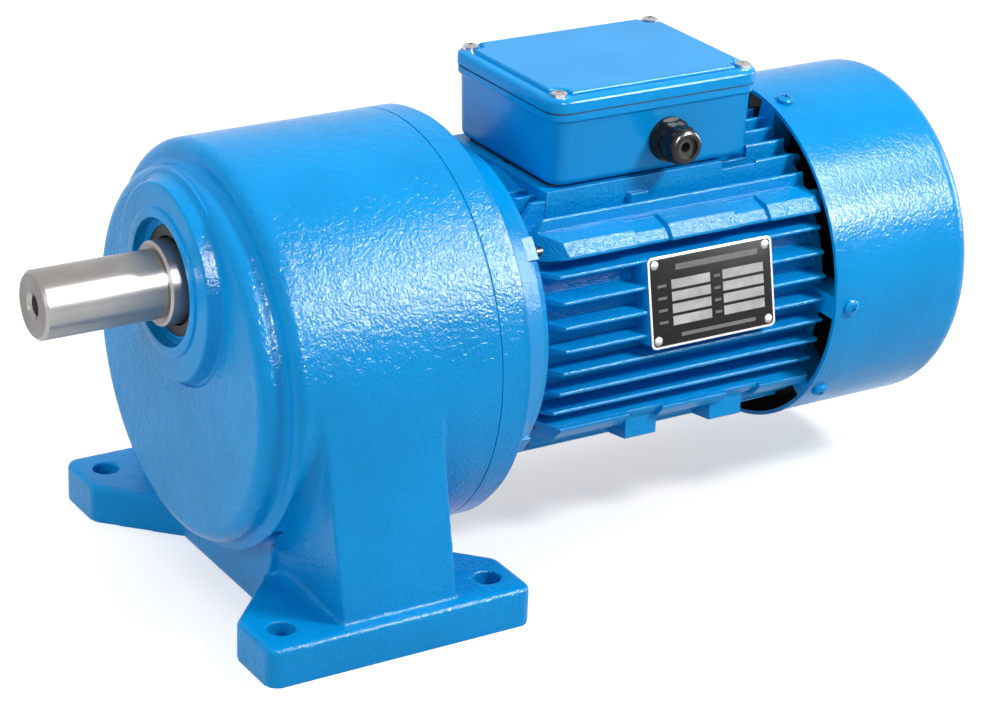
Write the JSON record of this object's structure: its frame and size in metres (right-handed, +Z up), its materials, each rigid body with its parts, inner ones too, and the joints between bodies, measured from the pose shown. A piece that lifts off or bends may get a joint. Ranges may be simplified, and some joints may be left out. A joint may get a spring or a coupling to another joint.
{
  "type": "cycloidal_reducer",
  "caption": "Foot-mounted cycloidal gearmotor in blue enamel: round cast gear casing with keyed output shaft, finned motor, fan cowl and terminal box.",
  "frame": {"origin": "middle of the four foot bolts, on the base plane of the feet", "axes": "+X along the shafts from the output shaft end towards the fan cowl, +Y across to the side without the cable gland, +Z up from the base plane"},
  "size_m": [0.652, 0.311, 0.3232],
  "materials": {
    "blue_paint": "gloss air-dried enamel over a cast texture",
    "ground_steel": "ground and lightly oiled",
    "bearing_steel": "hardened and ground",
    "cast_iron": "machined grey iron",
    "zinc_plate": "bright zinc plate",
    "black_oxide": "black oxide",
    "seal_rubber": "nitrile rubber",
    "black_plastic": "black polyamide, satin",
    "core_steel": "varnished lamination stack",
    "copper_wire": "enamelled copper wire, varnished",
    "cage_aluminium": "die cast",
    "brass": "bare brass",
    "bronze": "sintered bronze",
    "plate_black": "black enamelled sheet with a bright rim, bare of text"
  },
  "bodies": {
    "housing": {"gear_casing": "blue_paint", "output_oil_seal": "seal_rubber", "output_bearing_outers": "bearing_steel", "output_bearing_balls": "bearing_steel", "cycloid_ring": "cast_iron", "ring_pins": "bearing_steel", "ring_rollers": "bearing_steel", "ring_cover": "cast_iron", "cover_screws": "black_oxide", "cover_bearing_outer": "bearing_steel", "cover_bearing_balls": "bearing_steel", "input_adapter": "blue_paint", "adapter_bolts": "black_oxide", "motor_oil_seal": "seal_rubber", "motor_flange": "blue_paint", "flange_bolts": "black_oxide", "motor_bearing_outers": "bearing_steel", "motor_bearing_balls": "bearing_steel", "motor_frame": "blue_paint", "tie_bolts": "black_oxide", "stator_core": "core_steel", "stator_windings": "copper_wire", "rear_end_shield": "blue_paint", "fan_cowl": "blue_paint", "cowl_screws": "blue_paint", "box_gasket": "seal_rubber", "terminal_box": "blue_paint", "lid_gasket": "seal_rubber", "terminal_lid": "blue_paint", "lid_screws": "zinc_plate", "gland_body": "black_plastic", "gland_nut": "black_plastic", "gland_seal": "seal_rubber", "gland_locknut": "black_plastic", "terminal_block": "black_plastic", "terminal_studs": "brass", "terminal_links": "brass", "nameplate": "plate_black", "nameplate_rivets": "zinc_plate"},
    "output": {"output_shaft": "ground_steel", "output_pins": "bearing_steel", "output_rollers": "bearing_steel", "output_bearing_inners": "bearing_steel", "pilot_bush": "bronze"},
    "disc_a": {"cycloid_disc_a": "bearing_steel"},
    "disc_b": {"cycloid_disc_b": "bearing_steel"},
    "eccentric": {"eccentric_shaft": "ground_steel", "eccentric_rollers": "bearing_steel", "input_wheel": "bearing_steel", "wheel_circlip": "black_oxide", "cover_bearing_inner": "bearing_steel"},
    "rotor": {"motor_shaft": "ground_steel", "motor_pinion": "bearing_steel", "rotor_core": "core_steel", "rotor_cage": "cage_aluminium", "motor_bearing_inners": "bearing_steel", "fan": "black_plastic", "fan_circlip": "black_oxide"}
  },
  "joints": [
    {"name": "rotor_spin", "type": "hinge", "parent": "housing", "child": "rotor", "pos_m": [0.24, 0, 0.163], "axis": [1, 0, 0], "continuous": true},
    {"name": "eccentric_spin", "type": "hinge", "parent": "housing", "child": "eccentric", "pos_m": [0.014, 0, 0.216], "axis": [1, 0, 0], "continuous": true},
    {"name": "disc_a_spin", "type": "hinge", "parent": "eccentric", "child": "disc_a", "pos_m": [0.006, 0, 0.213], "axis": [1, 0, 0], "continuous": true},
    {"name": "disc_b_spin", "type": "hinge", "parent": "eccentric", "child": "disc_b", "pos_m": [0.022, 0, 0.219], "axis": [1, 0, 0], "continuous": true},
    {"name": "output_spin", "type": "hinge", "parent": "housing", "child": "output", "pos_m": [-0.06, 0, 0.216], "axis": [1, 0, 0], "continuous": true}
  ],
  "couplings": [
    {"joint": "eccentric_spin", "follows": "rotor_spin", "ratio": -0.51429},
    {"joint": "disc_a_spin", "follows": "rotor_spin", "ratio": 0.56104},
    {"joint": "disc_b_spin", "follows": "rotor_spin", "ratio": 0.56104},
    {"joint": "output_spin", "follows": "rotor_spin", "ratio": 0.046753}
  ]
}
